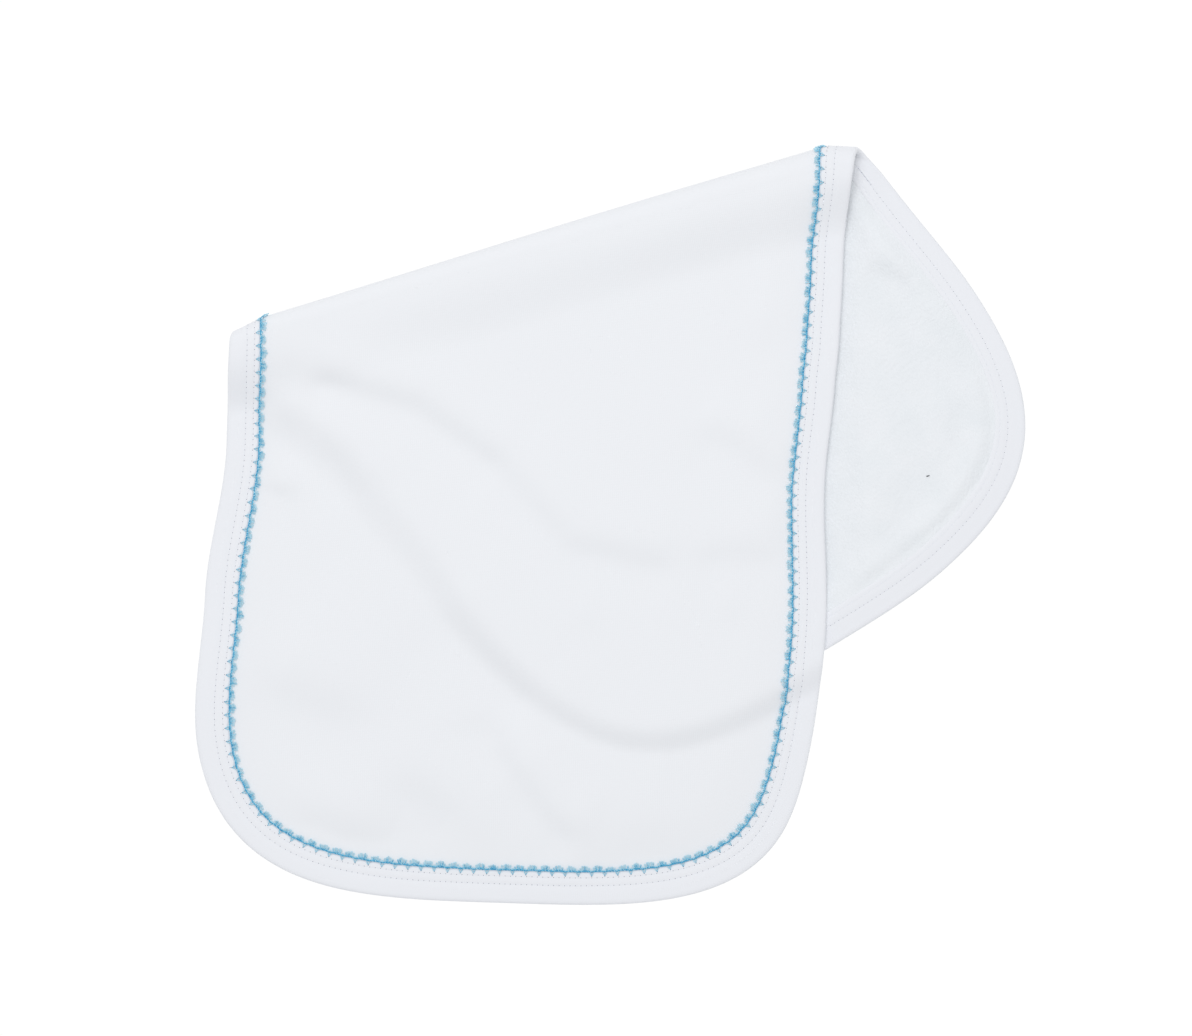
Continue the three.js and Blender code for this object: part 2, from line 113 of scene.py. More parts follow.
def outward_slope(u, v):
    du = (outward_share(u + PROBE, v) - outward_share(u - PROBE, v)) / (2 * PROBE)
    dv = (outward_share(u, v + PROBE) - outward_share(u, v - PROBE)) / (2 * PROBE)
    size = np.maximum(np.hypot(du, dv), 1e-9)
    return du / size, dv / size, size


def inset_at(u, v):
    return (1 - outward_share(u, v)) / np.maximum(outward_slope(u, v)[2], 1 / LENGTH)


def edge_shift(u, v):
    at = EDGE_SHIFTS[:, 0]
    i = np.clip(np.searchsorted(at, v, side="left") - 1, 0, len(at) - 2)
    q = smooth((v - at[i]) / (at[i + 1] - at[i]))
    left = mix(EDGE_SHIFTS[i, 1], EDGE_SHIFTS[i + 1, 1], q)
    right = mix(EDGE_SHIFTS[i, 2], EDGE_SHIFTS[i + 1, 2], q)
    return mix(left, right, np.clip(u / END_WIDTH + 0.5, 0, 1))


def creases_at(creases, x, y):
    height = np.zeros_like(x)
    for *places, drop, wide in creases:
        path = np.reshape(places, (-1, 2))
        nearest, side, at, far = np.full(x.shape, np.inf), 0, 0, 0
        for (ax, ay), (bx, by) in zip(path, path[1:]):
            dx, dy = bx - ax, by - ay
            size = math.hypot(dx, dy)
            t = np.clip(((x - ax) * dx + (y - ay) * dy) / size**2, 0, 1)
            away = np.hypot(x - ax - t * dx, y - ay - t * dy)
            closer = away < nearest
            left = np.where((y - ay) * dx > (x - ax) * dy, away, -away)
            side, at = np.where(closer, left, side), np.where(closer, far + t * size, at)
            nearest = np.minimum(nearest, away)
            far += size
        fade = smooth(at / (3 * wide)) * smooth((far - at) / (3 * wide))
        height += fade * drop / 2 * np.tanh(side / wide) * np.exp(-((side / (4 * wide)) ** 2))
    return height


def rest_above(height):
    """Heights above what lies below, with those under it brought back to it."""
    return np.maximum(height, 0.1 * np.maximum(height, -1) + 0.1)


def pull_at(u, v):
    """How far the lower flap's hidden corner is drawn towards the fold."""
    return CORNER_PULL * smooth((45 - u) / 120) * smooth((v - 325) / 120)


def middle(u, v):
    """The middle surface of the folded cloth."""
    u, v = np.broadcast_arrays(np.asarray(u, float), np.asarray(v, float))
    d = (FOLD_FROM_END + u * math.tan(SKEW) - v) * math.cos(SKEW)
    along = u * math.cos(SKEW) + (v - FOLD_FROM_END) * math.sin(SKEW)
    radius = mix(ROLL_RADIUS_LEFT, ROLL_RADIUS_RIGHT, np.clip(along / 240 + 0.5, 0, 1))
    turn = np.clip(d / radius, -math.pi / 2, math.pi / 2)
    quarter = radius * math.pi / 2
    inward = radius - radius * np.cos(turn) + np.maximum(-d - quarter, 0)
    z = LOWER_HEIGHT + radius + radius * np.sin(turn)
    drop = 2 * radius - (FLAP_OVER_LOWER - LOWER_HEIGHT)
    extra = 0.6 * drop * drop / SETTLE
    past = np.maximum(d - quarter - ROLL_FLAT, 0)
    settled = np.minimum(past / (SETTLE + extra), 1)
    level = np.clip(d - quarter, 0, ROLL_FLAT)
    inward = inward + level + np.where(settled < 1, settled * SETTLE, past - extra)
    z = z - drop * smooth(settled)

    bow = np.exp(-(((along - FOLD_BOW_AT) / FOLD_BOW_REACH) ** 2)) * np.exp(-((d / 60) ** 2))
    inward = inward - FOLD_BOW * bow
    inward = inward - pull_at(u, v) * (d < 0)

    half = WAIST_WIDTH / 2 - DROOP_WIDTH
    near_fold = np.exp(-((d / DROOP_REACH) ** 2))
    inward = inward + DROOP_LEFT * smooth((-u - half) / DROOP_WIDTH) * near_fold
    inward = inward + DROOP_RIGHT * smooth((u - half) / DROOP_WIDTH) * near_fold
    sideways = along + edge_shift(u, v)
    x = FOLD_X + sideways * math.cos(SLOPE) + inward * math.sin(SLOPE)
    y = FOLD_Y + sideways * math.sin(SLOPE) - inward * math.cos(SLOPE)

    inset = inset_at(u, v)
    lift = TRIM_LIFT * smooth((inset - 2) / (BINDING_WIDTH - 3))
    lift = lift * (1 - smooth((inset - STRIP_END) / 12)) * smooth(-d / radius - 0.3)
    shown = smooth((x - LOWER_SHOWS_FROM) / 12) * smooth((-d - quarter) / 12) * smooth((inset - 10) / 10)
    freely = LOWER_PUFF * smooth((inset - 13) / 8) + creases_at(LOWER_CREASES, x, y)
    lower = z + lift + rest_above(freely) * shown

    under_u, under_v = u, 2 * FOLD_FROM_END - v
    for _ in range(3):
        across = sideways - edge_shift(under_u, under_v)
        away = -(inward + quarter - radius + pull_at(under_u, under_v))
        under_u = across * math.cos(SKEW) + away * math.sin(SKEW)
        under_v = np.minimum(FOLD_FROM_END + across * math.sin(SKEW) - away * math.cos(SKEW), LENGTH + 60)
    step = mix(STEP_LENGTH_LEFT, STEP_LENGTH_RIGHT, smooth((x + 120) / 100))
    over = smooth((inset_at(under_u, under_v) + STEP_CLEAR + step) / step)
    upper = z - (FLAP_OVER_LOWER - FLAP_ON_FLOOR) * (1 - over) * smooth(settled)
    uneven = 0.35 * np.sin(x / 17 + y / 41) + 0.3 * np.sin(y / 19 - x / 37 + 1)
    creases = creases_at(FLAP_CREASES, x, y) * smooth((inset - 6) / 14)
    puff = PUFF * smooth((inset - PUFF_FROM) / PUFF_FADE)
    upper = upper + rest_above(puff + creases + uneven) * smooth(settled)
    return np.stack([x, y, np.where(d <= 0, lower, upper)], -1)


def layer(u, v, out):
    """Places on the middle surface, moved out of it towards the face."""
    across = middle(u + PROBE, v) - middle(u - PROBE, v)
    along = middle(u, v + PROBE) - middle(u, v - PROBE)
    normal = np.cross(across, along)
    normal /= np.linalg.norm(normal, axis=-1, keepdims=True)
    return middle(u, v) + normal * np.asarray(out, float)[..., None]


def inside(u, v, inset):
    du, dv, _ = outward_slope(u, v)
    return u - inset * du, v - inset * dv


def sheet_grid(columns, flap_row, lower_row):
    """u and v of a grid of rows inside the band; near the fold its rows are parallel to it."""
    first = FOLD_FROM_END - FOLD_ROWS_ABOVE / math.cos(SKEW)
    last = FOLD_FROM_END + FOLD_ROWS_BELOW / math.cos(SKEW)
    rows = np.concatenate([
        np.linspace(END_ROW, first, round((first - END_ROW) / flap_row), endpoint=False),
        np.linspace(first, last, round((last - first) / FOLD_ROW), endpoint=False),
        np.linspace(last, LENGTH - END_ROW, round((LENGTH - END_ROW - last) / lower_row) + 1),
    ])
    from_fold = np.abs(rows - FOLD_FROM_END)
    slant = math.tan(SKEW) * (1 - smooth((from_fold - SLANT_FULL) / (SLANT_NONE - SLANT_FULL)))
    ends = []
    for side in (-1, 1):
        v = rows.copy()
        for _ in range(30):
            v = rows + slant * side * half_width_at(v)
        ends.append(inside(side * half_width_at(v), v, PANEL_INSET))
    share = np.linspace(0, 1, columns + 1)
    reach = float(half_width_at(np.array(END_ROW)))
    edge_u = mix(-reach, reach, share)
    edge_v = END_DEPTH * (1 - (1 - np.abs(edge_u / (END_WIDTH / 2)) ** CORNER_POWER) ** (1 / CORNER_POWER))
    u = mix(ends[0][0][:, None], ends[1][0][:, None], share)
    v = mix(ends[0][1][:, None], ends[1][1][:, None], share)
    for v_end, row in ((edge_v, 0), (LENGTH - edge_v, -1)):
        in_u, in_v = inside(edge_u, v_end, PANEL_INSET)
        bulge = in_v - mix(in_v[0], in_v[-1], share)
        fade = 1 - smooth(np.abs(rows - rows[row]) / ROUND_END_REACH)
        v = v + fade[:, None] * bulge
        u[row] = in_u
    return u, v


def edge_path(count):
    """Evenly spaced places on the flat cloth's edge, and how far round each one is along the trim."""
    th = np.linspace(math.pi, 2 * math.pi, 1500)
    c, s = np.cos(th), np.sin(th)
    power = 2 / CORNER_POWER
    u = END_WIDTH / 2 * np.sign(c) * np.abs(c) ** power
    v = END_DEPTH * (1 - np.abs(s) ** power)
    side = np.linspace(END_DEPTH, LENGTH - END_DEPTH, 400)[1:-1]
    u = np.concatenate([u, half_width_at(side), -u, -half_width_at(side)])
    v = np.concatenate([v, side, LENGTH - v, side[::-1]])
    iu, iv = inside(u, v, TRIM_MIDDLE)
    iu, iv = np.append(iu, iu[0]), np.append(iv, iv[0])
    u, v = np.append(u, u[0]), np.append(v, v[0])
    far = np.concatenate([[0], np.cumsum(np.hypot(np.diff(iu), np.diff(iv)))])
    at = np.linspace(0, far[-1], count, endpoint=False)
    return np.interp(at, far, u), np.interp(at, far, v), at, far[-1]


TRIM_ROUND = edge_path(4)[3]
SCALLOPS = round(TRIM_ROUND / SCALLOP_PITCH)
PITCH = TRIM_ROUND / SCALLOPS


def make(name, points, quads, smooth_it=True, uv=None):
    """A mesh object from points in millimetres and faces of four corners."""
    mesh = bpy.data.meshes.new(name)
    points = np.asarray(points, np.float32).reshape(-1, 3) * 0.001
    quads = np.asarray(quads, np.int32)
    sides = quads.shape[1]
    mesh.vertices.add(len(points))
    mesh.vertices.foreach_set("co", points.ravel())
    mesh.loops.add(quads.size)
    mesh.loops.foreach_set("vertex_index", quads.ravel())
    mesh.polygons.add(len(quads))
    mesh.polygons.foreach_set("loop_start", np.arange(0, quads.size, sides, dtype=np.int32))
    mesh.polygons.foreach_set("use_smooth", np.full(len(quads), smooth_it))
    if uv is not None:
        layer_uv = mesh.uv_layers.new(name="flat")
        layer_uv.data.foreach_set("uv", np.asarray(uv, np.float32).reshape(-1, 2)[quads.ravel()].ravel())
    mesh.update(calc_edges=True)
    mesh.validate()
    obj = bpy.data.objects.new(name, mesh)
    bpy.context.scene.collection.objects.link(obj)
    return obj


def grid_faces(rows, columns, close_rows=False, close_columns=False, flip=False):
    """Faces between the points of a grid of rows by columns points."""
    j = np.arange(rows if close_rows else rows - 1)[:, None]
    i = np.arange(columns if close_columns else columns - 1)[None, :]
    jn, im = (j + 1) % rows, (i + 1) % columns
    a, b, c, d = j * columns + i, j * columns + im, jn * columns + im, jn * columns + i
    quads = np.stack([a, b, c, d], -1).reshape(-1, 4)
    return quads[:, ::-1] if flip else quads


def loop_of(rows, columns):
    """The numbers of a grid's rim points, in order round it."""
    bottom = np.arange(columns)
    right = np.arange(1, rows) * columns + columns - 1
    top = (rows - 1) * columns + np.arange(columns - 2, -1, -1)
    left = np.arange(rows - 2, 0, -1) * columns
    return np.concatenate([bottom, right, top, left])


def closed_sheet(name, u, v, low, high):
    """A closed sheet over the grid, between two distances from the middle surface."""
    rows, columns = u.shape
    sides = [layer(u, v, np.full(u.shape, out)).reshape(-1, 3) for out in (high, low)]
    n = rows * columns
    faces = grid_faces(rows, columns)
    rim = loop_of(rows, columns)
    after = np.roll(rim, -1)
    wall = np.stack([rim + n, after + n, after, rim], -1)
    quads = np.concatenate([faces, faces[:, ::-1] + n, wall])
    uv = np.stack([u, v], -1).reshape(-1, 2) * 0.001
    return make(name, np.concatenate(sides), quads, uv=np.concatenate([uv, uv]))


def open_sheet(name, u, v, out, back, flip):
    """One side of a sheet with its rim turned in, out from the middle surface by out and back."""
    rows, columns = u.shape
    top = layer(u, v, out).reshape(-1, 3)
    rim = loop_of(rows, columns)
    turned = layer(u.ravel()[rim], v.ravel()[rim], np.full(len(rim), back))
    n = rows * columns
    k = np.arange(len(rim))
    wall = np.stack([rim, np.roll(rim, -1), np.roll(k, -1) + n, k + n], -1)
    quads = np.concatenate([grid_faces(rows, columns), wall[:, ::-1]])
    uv = np.stack([u, v], -1).reshape(-1, 2) * 0.001
    uv = np.concatenate([uv, uv[rim]])
    return make(name, np.concatenate([top, turned]), quads[:, ::-1] if flip else quads, uv=uv)


def tube(centres, side, up, radius, sides=8):
    """Rings of points round centre points; side and up are unit vectors at each one."""
    th = np.arange(sides) * 2 * math.pi / sides
    return centres[:, None] + radius[:, None, None] * (
        np.cos(th)[None, :, None] * side[:, None] + np.sin(th)[None, :, None] * up[:, None]
    )


# Materials. All patterns are procedural, and follow the flat cloth's own u and v where a piece has them.
def linear(*srgb):
    c = np.array(srgb) / 255
    return (*np.where(c <= 0.04045, c / 12.92, ((c + 0.055) / 1.055) ** 2.4), 1.0)


def material(name, colour, roughness=0.9, sheen=0.2):
    m = bpy.data.materials.new(name)
    m.use_nodes = True
    nodes, links = m.node_tree.nodes, m.node_tree.links
    shader = nodes["Principled BSDF"]
    shader.inputs["Base Color"].default_value = colour
    shader.inputs["Roughness"].default_value = roughness
    shader.inputs["Specular IOR Level"].default_value = 0.15
    shader.inputs["Sheen Weight"].default_value = sheen
    shader.inputs["Sheen Roughness"].default_value = 0.5
    return m, nodes, links, shader


def bump(nodes, links, shader, height, strength, distance):
    b = nodes.new("ShaderNodeBump")
    b.inputs["Strength"].default_value = strength
    b.inputs["Distance"].default_value = distance
    links.new(height, b.inputs["Height"])
    links.new(b.outputs["Normal"], shader.inputs["Normal"])


def wave(nodes, links, coordinate, direction, pitch):
    w = nodes.new("ShaderNodeTexWave")
    w.bands_direction = direction
    w.inputs["Scale"].default_value = 2 * math.pi / 20 / pitch
    w.inputs["Distortion"].default_value = 0.6
    w.inputs["Detail"].default_value = 0.0
    links.new(coordinate, w.inputs["Vector"])
    return w.outputs["Fac"]


def knit_material(name, colour, strength):
    m, nodes, links, shader = material(name, colour)
    uv = nodes.new("ShaderNodeUVMap")
    uv.uv_map = "flat"
    wales = wave(nodes, links, uv.outputs["UV"], "X", 0.00085)
    courses = wave(nodes, links, uv.outputs["UV"], "Y", 0.00065)
    both = nodes.new("ShaderNodeMath")
    both.operation = "MULTIPLY"
    links.new(wales, both.inputs[0])
    links.new(courses, both.inputs[1])
    bump(nodes, links, shader, both.outputs[0], strength, 0.00015)
    return m


jersey, binding_cloth = (
    knit_material(n, linear(*c), s)
    for n, c, s in (("jersey", (241, 243, 247), 0.12), ("binding", (240, 242, 247), 0.12))
)

terry_cloth, nodes, links, shader = material("terry", linear(240, 243, 247), 0.97, 0.35)
uv = nodes.new("ShaderNodeUVMap")
uv.uv_map = "flat"
cells = nodes.new("ShaderNodeTexVoronoi")
cells.inputs["Scale"].default_value = 950
links.new(uv.outputs["UV"], cells.inputs["Vector"])
bump(nodes, links, shader, cells.outputs["Distance"], 0.4, 0.0004)
patches = nodes.new("ShaderNodeTexNoise")
patches.inputs["Scale"].default_value = 60
patches.inputs["Detail"].default_value = 3
links.new(uv.outputs["UV"], patches.inputs["Vector"])
nap = nodes.new("ShaderNodeValToRGB")
nap.color_ramp.elements[0].position = 0.3
nap.color_ramp.elements[0].color = linear(237, 241, 245)
nap.color_ramp.elements[1].position = 0.7
nap.color_ramp.elements[1].color = linear(241, 244, 248)
links.new(patches.outputs["Fac"], nap.inputs["Fac"])
links.new(nap.outputs["Color"], shader.inputs["Base Color"])

thread_white = material("thread_white", linear(236, 239, 245), 0.75, 0.1)[0]
# Painted shade: a grey for the small beads that stand for the shadow inside each needle hole.
hole_shade_cloth = material("hole_shade", linear(150, 154, 166), 0.95, 0.0)[0]
# Painted shade: a dark blue for the beads where each V's tip dives into the band, standing in for the shadow
# there.
tip_shade_cloth = material("picot_tip_shade", linear(92, 132, 168), 0.95, 0.0)[0]
lint_dark = material("lint", linear(70, 72, 78), 0.95, 0.0)[0]

picot_thread, nodes, links, shader = material("picot", linear(96, 184, 222), 0.8, 0.3)
uv = nodes.new("ShaderNodeUVMap")
uv.uv_map = "flat"
split = nodes.new("ShaderNodeSeparateXYZ")
links.new(uv.outputs["UV"], split.inputs[0])
speckle = nodes.new("ShaderNodeTexNoise")
speckle.inputs["Scale"].default_value = 1700
speckle.inputs["Detail"].default_value = 2
place = nodes.new("ShaderNodeTexCoord")
links.new(place.outputs["Object"], speckle.inputs["Vector"])
both = nodes.new("ShaderNodeMath")
both.operation = "MULTIPLY_ADD"
links.new(speckle.outputs["Fac"], both.inputs[0])
both.inputs[1].default_value = 0.8
links.new(split.outputs["X"], both.inputs[2])
ramp = nodes.new("ShaderNodeValToRGB")
ramp.color_ramp.elements[0].position = 0.35
ramp.color_ramp.elements[0].color = linear(48, 142, 190)
ramp.color_ramp.elements[1].position = 1.0
ramp.color_ramp.elements[1].color = linear(190, 230, 245)
for position, tint in ((0.52, (70, 168, 212)), (0.72, (122, 202, 232))):
    ramp.color_ramp.elements.new(position).color = linear(*tint)
links.new(both.outputs[0], ramp.inputs["Fac"])
links.new(ramp.outputs["Color"], shader.inputs["Base Color"])
bump(nodes, links, shader, speckle.outputs["Fac"], 0.4, 0.0001)


def finish_piece(obj, cloth):
    obj.data.materials.append(cloth)
    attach(obj, "root")
    return obj


rng = np.random.default_rng(11)

# The two panels.
face_u, face_v = sheet_grid(FACE_COLUMNS, FACE_ROW, 3.4)
face = finish_piece(closed_sheet("jersey_face", face_u, face_v, FACE_IN + 0.4, FACE_OUT), jersey)
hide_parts("face_panel")

terry_u, terry_v = sheet_grid(TERRY_COLUMNS, TERRY_ROW, TERRY_FINE_ROW)
loops = rng.normal(0, 1, terry_u.shape)
loops = (loops + np.roll(loops, 1, 0) + np.roll(loops, 1, 1)) / 1.7
loops = np.clip(loops, -1.6, 1.6) * 0.05
terry = open_sheet("terry_back", terry_u, terry_v, TERRY_OUT - 0.1 + loops, TERRY_IN - 0.3, flip=True)
finish_piece(terry, terry_cloth)
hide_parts("terry_panel")

# The band round the edge: its inner edge on the face is drawn into an arch between each two legs of the trim.
edge_u, edge_v, edge_at, _ = edge_path(SCALLOPS * SCALLOP_STEPS)
phase = edge_at / PITCH
arch = np.sin(math.pi * (phase % 1)) ** 0.6
face_side, back_side = FACE_OUT + BINDING_PROUD, TERRY_OUT - BINDING_PROUD


def band_section():
    """Inset, out and how far the arches move each point, from the face's lip round to the back's."""
    points = [(13.1, FACE_OUT + 0.02, 1.0), (13.05, face_side - 0.1, 1.0), (12.7, face_side, 1.0)]
    points += [(11.9, face_side, 0.35)]
    for row in reversed(NEEDLE_ROWS):
        points += [(row + 0.45, face_side, 0), (row, face_side - 0.14, 0), (row - 0.45, face_side, 0)]
    points += [(5.0, face_side + 0.05, 0), (2.4, face_side, 0)]
    half = (face_side - back_side) / 2
    centre = (face_side + back_side) / 2
    for degrees in range(75, -76, -25):
        a = math.radians(degrees)
        points.append((1.5 - 1.5 * math.cos(a), centre + half * math.sin(a), 0))
    points += [(2.4, back_side, 0), (5.0, back_side - 0.05, 0)]
    for row in NEEDLE_ROWS:
        points += [(row - 0.45, back_side, 0), (row, back_side + 0.1, 0), (row + 0.45, back_side, 0)]
    points += [(12.9, back_side, 0), (13.25, back_side + 0.12, 0), (13.3, TERRY_OUT + 0.1, 0)]
    return points


rings, widths = [], []
for inset, out, moved in band_section():
    at = inset + moved * (arch * 0.95 - 0.5)
    u, v = inside(edge_u, edge_v, at)
    rings.append(layer(u, v, np.full(len(u), out)))
    widths.append(np.stack([edge_at, at + (100 if out < 0 else 0)], -1) * 0.001)
band_points = np.stack(rings, 1)
band_faces = grid_faces(len(edge_u), len(rings), close_rows=True, flip=True)
band = make("edge_band", band_points, band_faces, uv=np.stack(widths, 1))
finish_piece(band, binding_cloth)
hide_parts("edge_binding")


# The trim. Two plies of cord run along its foot. Each scallop has a fan of thread loops that bulges inward
# and a thread over the fan, and at each joint is a V of thread whose tip dives into the band.
trim_u, trim_v, trim_at, _ = edge_path(6000)
trim_u, trim_v = np.append(trim_u, trim_u[0]), np.append(trim_v, trim_v[0])
trim_at = np.append(trim_at, TRIM_ROUND)


def on_trim(phase, inset, out):
    at = (phase % SCALLOPS) * PITCH
    u, v = np.interp(at, trim_at, trim_u), np.interp(at, trim_at, trim_v)
    u, v = inside(u, v, inset)
    return layer(u, v, out)


def threads(phase, inset, out, radius, tone_and_shade, sides=5, ring=False):
    """Tubes along many paths at once; each array has one row for each path. Gives points, faces and their uv.

    The uv's first number is how light the thread is painted, from 0 to 1: its dye, with painted shade on the
    parts that lie deep.
    """
    phase, inset, out, radius, tone_and_shade = np.broadcast_arrays(phase, inset, out, radius, tone_and_shade)
    centre = on_trim(phase, inset, out)
    above = on_trim(phase, inset, out + 0.3) - centre
    if ring:
        run = np.roll(centre, -1, 1) - np.roll(centre, 1, 1)
    else:
        run = np.gradient(centre, axis=1)
    run /= np.linalg.norm(run, axis=-1, keepdims=True)
    side = np.cross(above, run)
    side /= np.linalg.norm(side, axis=-1, keepdims=True)
    up = np.cross(run, side)
    paths, steps = phase.shape
    points = tube(centre.reshape(-1, 3), side.reshape(-1, 3), up.reshape(-1, 3), radius.reshape(-1), sides)
    one = grid_faces(steps, sides, close_rows=ring, close_columns=True)
    quads = (one[None] + (np.arange(paths) * steps * sides)[:, None, None]).reshape(-1, 4)
    uv = np.stack([tone_and_shade, inset * 0.001], -1).reshape(-1, 1, 2).repeat(sides, 1)
    return points.reshape(-1, 3), quads, uv.reshape(-1, 2)


LOOPS, LOOP_REACH, LOOP_SPREAD = 7, 2.6, 0.38
strands = []
joint = np.arange(SCALLOPS)[:, None] * 1.0
crown = rng.uniform(0.88, 1.12, (SCALLOPS, 1))
along_cord = np.arange(SCALLOPS * 7)[None, :] / 7
arched = np.sin(math.pi * (along_cord % 1)) ** 0.6
for ply in (0, math.pi):
    twist = 2 * math.pi * 2.0 * along_cord + ply
    strands.append(threads(
        along_cord,
        13.85 + 0.25 * arched + 0.18 * np.cos(twist),
        FACE_OUT + 0.38 + 0.17 * np.sin(twist),
        0.26,
        # The cord is painted darker as shade at the trim's foot, darkest at the middle of each scallop.
        0.16 - 0.08 * arched,
        ring=True,
    ))
t = np.linspace(0, 1, 8)[None, :]
for k in range(LOOPS):
    lean = 2 * k / (LOOPS - 1) - 1
    high = math.sqrt(1 - (0.93 * lean) ** 2)
    middle_phase = joint + 0.5 + LOOP_SPREAD * lean + rng.uniform(-0.03, 0.03, (SCALLOPS, 1))
    sway = 0.075 * np.sin(2 * math.pi * t) + 0.1 * lean * np.sin(math.pi * t)
    reach = LOOP_REACH * high * crown * rng.uniform(0.86, 1.12, (SCALLOPS, 1))
    strands.append(threads(
        middle_phase + sway - 0.05 + 0.1 * t,
        13.7 + reach * np.sin(math.pi * t) ** 0.8,
        FACE_OUT + 0.3 + (0.4 + 0.12 * (k % 2)) * np.sin(math.pi * (0.12 + 0.76 * t)),
        0.13 + 0.04 * np.sin(math.pi * t),
        # Painted light and shade: each loop is lighter at its crest and darker at its feet; the random part
        # is the dye's own variation.
        0.46 + 0.4 * np.sin(math.pi * t) ** 2 + rng.uniform(-0.34, 0.3, (SCALLOPS, 1)),
    ))
t = np.linspace(0, 1, 9)[None, :]
strands.append(threads(
    joint + 0.12 + 0.76 * t,
    13.9 + 0.9 * crown * np.sin(math.pi * t),
    FACE_OUT + 0.55 + 0.28 * np.sin(math.pi * t),
    0.16,
    0.35,
))
t = np.linspace(-1, 1, 7)[None, :]
strands.append(threads(
    joint + 0.12 * np.sign(t) * np.abs(t) ** 0.8 + rng.uniform(-0.03, 0.03, (SCALLOPS, 1)),
    12.1 + 1.6 * np.abs(t) ** 1.2,
    mix(face_side + 0.04, FACE_OUT + 0.7, np.abs(t) ** 0.7),
    0.17 + 0.08 * np.abs(t),
    0.5,
))
base = np.cumsum([0] + [len(points) for points, _, _ in strands])
trim = make(
    "picot_edging",
    np.concatenate([points for points, _, _ in strands]),
    np.concatenate([quads + first for (_, quads, _), first in zip(strands, base)]),
    uv=np.concatenate([uv for _, _, uv in strands]),
)
finish_piece(trim, picot_thread)
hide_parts("picot_trim")


# Sewing. Each needle row shows, on both sides, as short threads. Between them, except in the back's inner
# row, small dark beads are painted shade in the needle holes, where the thread dives in.
def beads(name, centres, along, across, out, sizes, cloth, slot, rings=4, sides=6):
    """Small ellipsoids with half sizes along, across and out."""
    lat = np.linspace(-math.pi / 2, math.pi / 2, rings + 1)
    lon = np.arange(sides) * 2 * math.pi / sides
    local = np.stack([
        np.sin(lat)[:, None] + 0 * lon[None, :],
        np.cos(lat)[:, None] * np.cos(lon)[None, :],
        np.cos(lat)[:, None] * np.sin(lon)[None, :],
    ], -1).reshape(-1, 3)
    p = centres[:, None] + (
        local[None, :, 0:1] * sizes[0] * along[:, None]
        + local[None, :, 1:2] * sizes[1] * across[:, None]
        + local[None, :, 2:3] * sizes[2] * out[:, None]
    )
    one = grid_faces(rings + 1, sides, close_columns=True)
    quads = (one[None] + (np.arange(len(centres)) * len(local))[:, None, None]).reshape(-1, 4)
    return finish_piece(make(name, p.reshape(-1, 3), quads), cloth)


def along_band(count, inset, out, offset=0.0):
    """Places along the band and unit vectors along, across and out of it."""
    u, v, _, total = edge_path(4000)
    at = (np.arange(count) + offset) / count * 4000
    i = at.astype(int) % 4000
    q = at % 1
    u1, v1 = mix(u[i], u[(i + 1) % 4000], q), mix(v[i], v[(i + 1) % 4000], q)
    iu, iv = inside(u1, v1, inset)
    c = layer(iu, iv, out + 0 * iu)
    ju, jv = inside(u1, v1, inset + 0.4)
    across = layer(ju, jv, out + 0 * iu) - c
    across /= np.linalg.norm(across, axis=1, keepdims=True)
    du, dv, _ = outward_slope(iu, iv)
    along = layer(iu - dv * 0.4, iv + du * 0.4, out + 0 * iu) - c
    along /= np.linalg.norm(along, axis=1, keepdims=True)
    return c, along, across, np.cross(along, across)


THREAD_SIZES, BACK_THREAD_SIZES = (0.82, 0.15, 0.13), (0.82, 0.15, 0.12)
HOLE_SHADE_SIZES, BACK_HOLE_SHADE_SIZES = (0.2, 0.2, 0.12), (0.17, 0.17, 0.1)
needle_count = round(TRIM_ROUND / STITCH_PITCH)
for k, row in enumerate(NEEDLE_ROWS):
    c, a, b, n = along_band(needle_count, row, face_side - 0.13)
    beads(f"needle_thread_{k}", c, a, b, n, THREAD_SIZES, thread_white, "binding")
    c, a, b, n = along_band(needle_count, row, face_side - 0.12, 0.5)
    beads(f"hole_shades_{k}", c, a, b, n, HOLE_SHADE_SIZES, hole_shade_cloth, "binding", 3, 6)
    c, a, b, n = along_band(needle_count, row, back_side + 0.1)
    beads(f"back_thread_{k}", c, a, b, n, BACK_THREAD_SIZES, thread_white, "binding")
c, a, b, n = along_band(needle_count, NEEDLE_ROWS[0], back_side + 0.09, 0.5)
beads("back_hole_shades", c, a, b, n, BACK_HOLE_SHADE_SIZES, hole_shade_cloth, "binding", 3, 6)

# Beside the fold's right end a thread of the outer row is drawn straight across the hollow of the fold.
TAUT_FROM_Y, TAUT_TO_Y, TAUT_RADIUS = 138, 146.5, 0.17
c = along_band(2000, NEEDLE_ROWS[0] - 0.3, back_side - 0.15)[0]
ends = c[(c[:, 0] > 90) & (c[:, 1] > TAUT_FROM_Y) & (c[:, 1] < TAUT_TO_Y) & (c[:, 2] < 7)]
span = ends[-1] - ends[0]
run = span / np.linalg.norm(span)
beside = np.cross([0.0, 0.0, 1.0], run)
beside /= np.linalg.norm(beside)
half_sizes = (np.linalg.norm(span) / 2, TAUT_RADIUS, TAUT_RADIUS)
taut = [x[None] for x in ((ends[0] + ends[-1]) / 2, run, beside, np.cross(run, beside))]
beads("taut_thread", *taut, half_sizes, thread_white, "binding", 12, 8)

# Small dark beads at each V's tip are painted shade where the thread dives into the band.
c, a, b, n = along_band(SCALLOPS, 12.05, face_side - 0.02)
tips = beads("picot_tip_shades", c, a, b, n, (0.26, 0.3, 0.14), tip_shade_cloth, "picot", 3, 6)

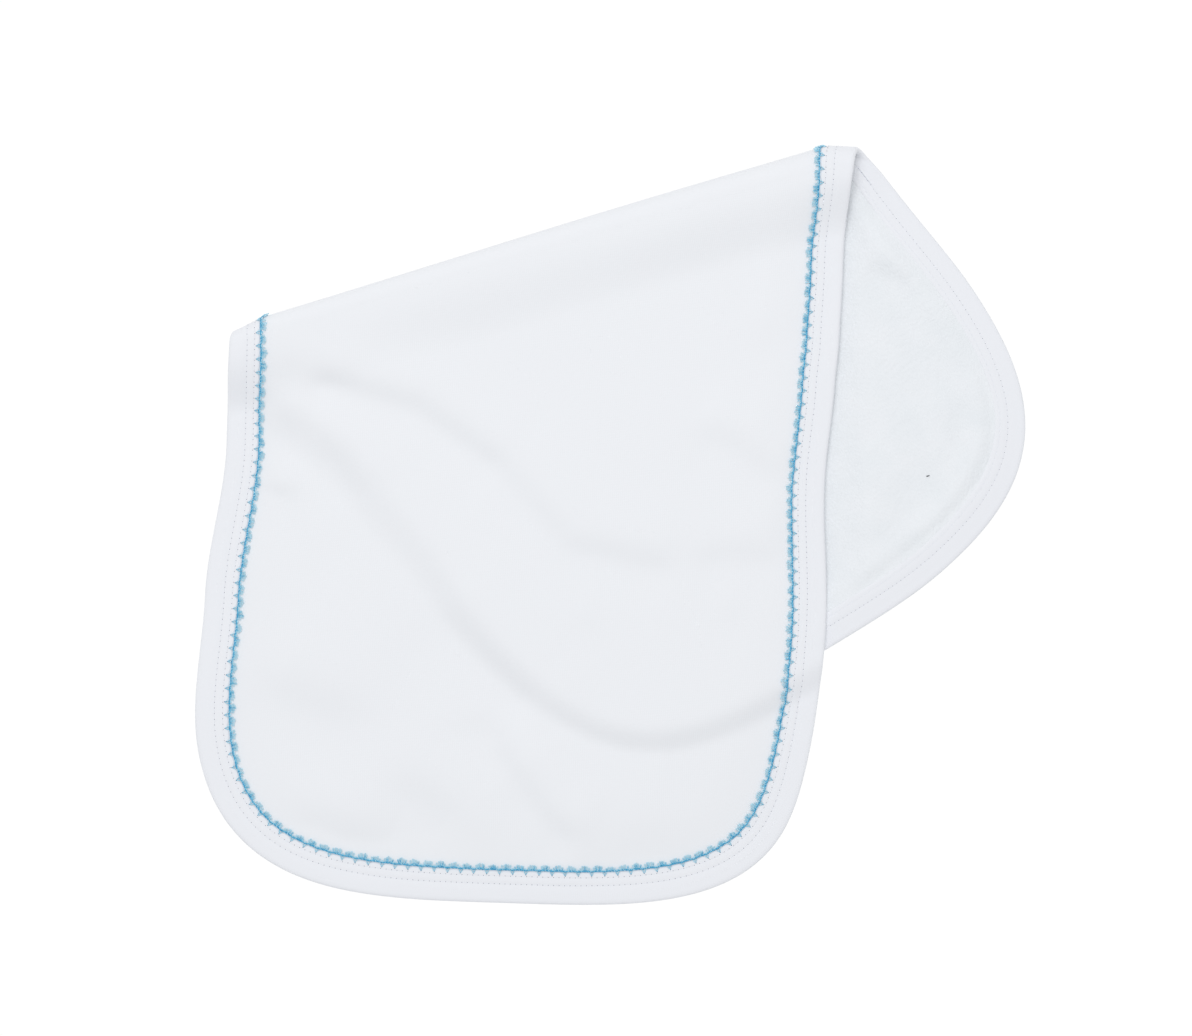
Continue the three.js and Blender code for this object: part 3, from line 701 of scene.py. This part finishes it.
# A speck of lint on the terry, at the place on it that is nearest to this x and y.
LINT_AT, LINT_SIZES = (129.1, 19.9), (0.8, 0.22, 0.18)
LINT_AXES = np.array([[[0.95, 0.3, 0.0]], [[-0.3, 0.95, 0.0]], [[0.0, 0.0, 1.0]]])
fine = np.stack([terry_u.ravel(), terry_v.ravel()], -1)[terry_v.ravel() > FOLD_FROM_END + 60]
placed = middle(fine[:, 0], fine[:, 1])[:, :2]
nearest = fine[((placed - LINT_AT) ** 2).sum(1).argmin()]
c = layer(nearest[:1], nearest[1:], np.full(1, TERRY_OUT - 0.35))
lint = beads("lint", c, *LINT_AXES, LINT_SIZES, lint_dark, "terry")

# The camera looks straight down; the photograph's white surround shows no shadow.
LENS, SENSOR, VIEW_WIDTH, VIEW_CENTRE = 100.0, 36.0, 0.4854, (-0.0057, 0.0031)
camera = bpy.data.objects.new("camera", bpy.data.cameras.new("camera"))
camera.data.lens = LENS
camera.data.sensor_width = SENSOR
camera.data.clip_end = 10
camera.location = (*VIEW_CENTRE, VIEW_WIDTH * LENS / SENSOR)
bpy.context.scene.collection.objects.link(camera)
bpy.context.scene.camera = camera

FLOOR_HALF, FLOOR_Z = 900, -0.2
corners = [(x * FLOOR_HALF, y * FLOOR_HALF, FLOOR_Z) for x, y in ((-1, -1), (1, -1), (1, 1), (-1, 1))]
floor = make("floor", corners, [[0, 1, 2, 3]], False)
glow = bpy.data.materials.new("white_surround")
glow.use_nodes = True
glow_nodes, glow_links = glow.node_tree.nodes, glow.node_tree.links
glow_nodes.clear()
emit = glow_nodes.new("ShaderNodeEmission")
emit.inputs["Color"].default_value = (1, 1, 1, 1)
emit.inputs["Strength"].default_value = 1.02
out_node = glow_nodes.new("ShaderNodeOutputMaterial")
glow_links.new(emit.outputs[0], out_node.inputs["Surface"])
floor.data.materials.append(glow)

world = bpy.data.worlds.new("world")
bpy.context.scene.world = world
world.use_nodes = True
background = world.node_tree.nodes["Background"]
background.inputs["Color"].default_value = (0.98, 0.99, 1.0, 1)
background.inputs["Strength"].default_value = 0.58


def area_light(name, place, aim, size, power, colour):
    data = bpy.data.lights.new(name, "AREA")
    data.shape = "RECTANGLE"
    data.size, data.size_y = size
    data.energy = power
    data.color = colour
    lamp = bpy.data.objects.new(name, data)
    lamp.location = place
    away = np.array(place, float) - np.array(aim, float)
    lamp.rotation_mode = "QUATERNION"
    lamp.rotation_quaternion = Vector(away).to_track_quat("Z", "Y")
    bpy.context.scene.collection.objects.link(lamp)
    return lamp


# A large lamp almost overhead, a little towards the picture's top and left.
area_light("top_window", (-0.145, 0.54, 2.09), (0, 0, 0), (1.2, 1.2), 20.5, (1.0, 0.99, 0.98))

scene = bpy.context.scene
scene.view_settings.view_transform = "Standard"
scene.view_settings.look = "None"
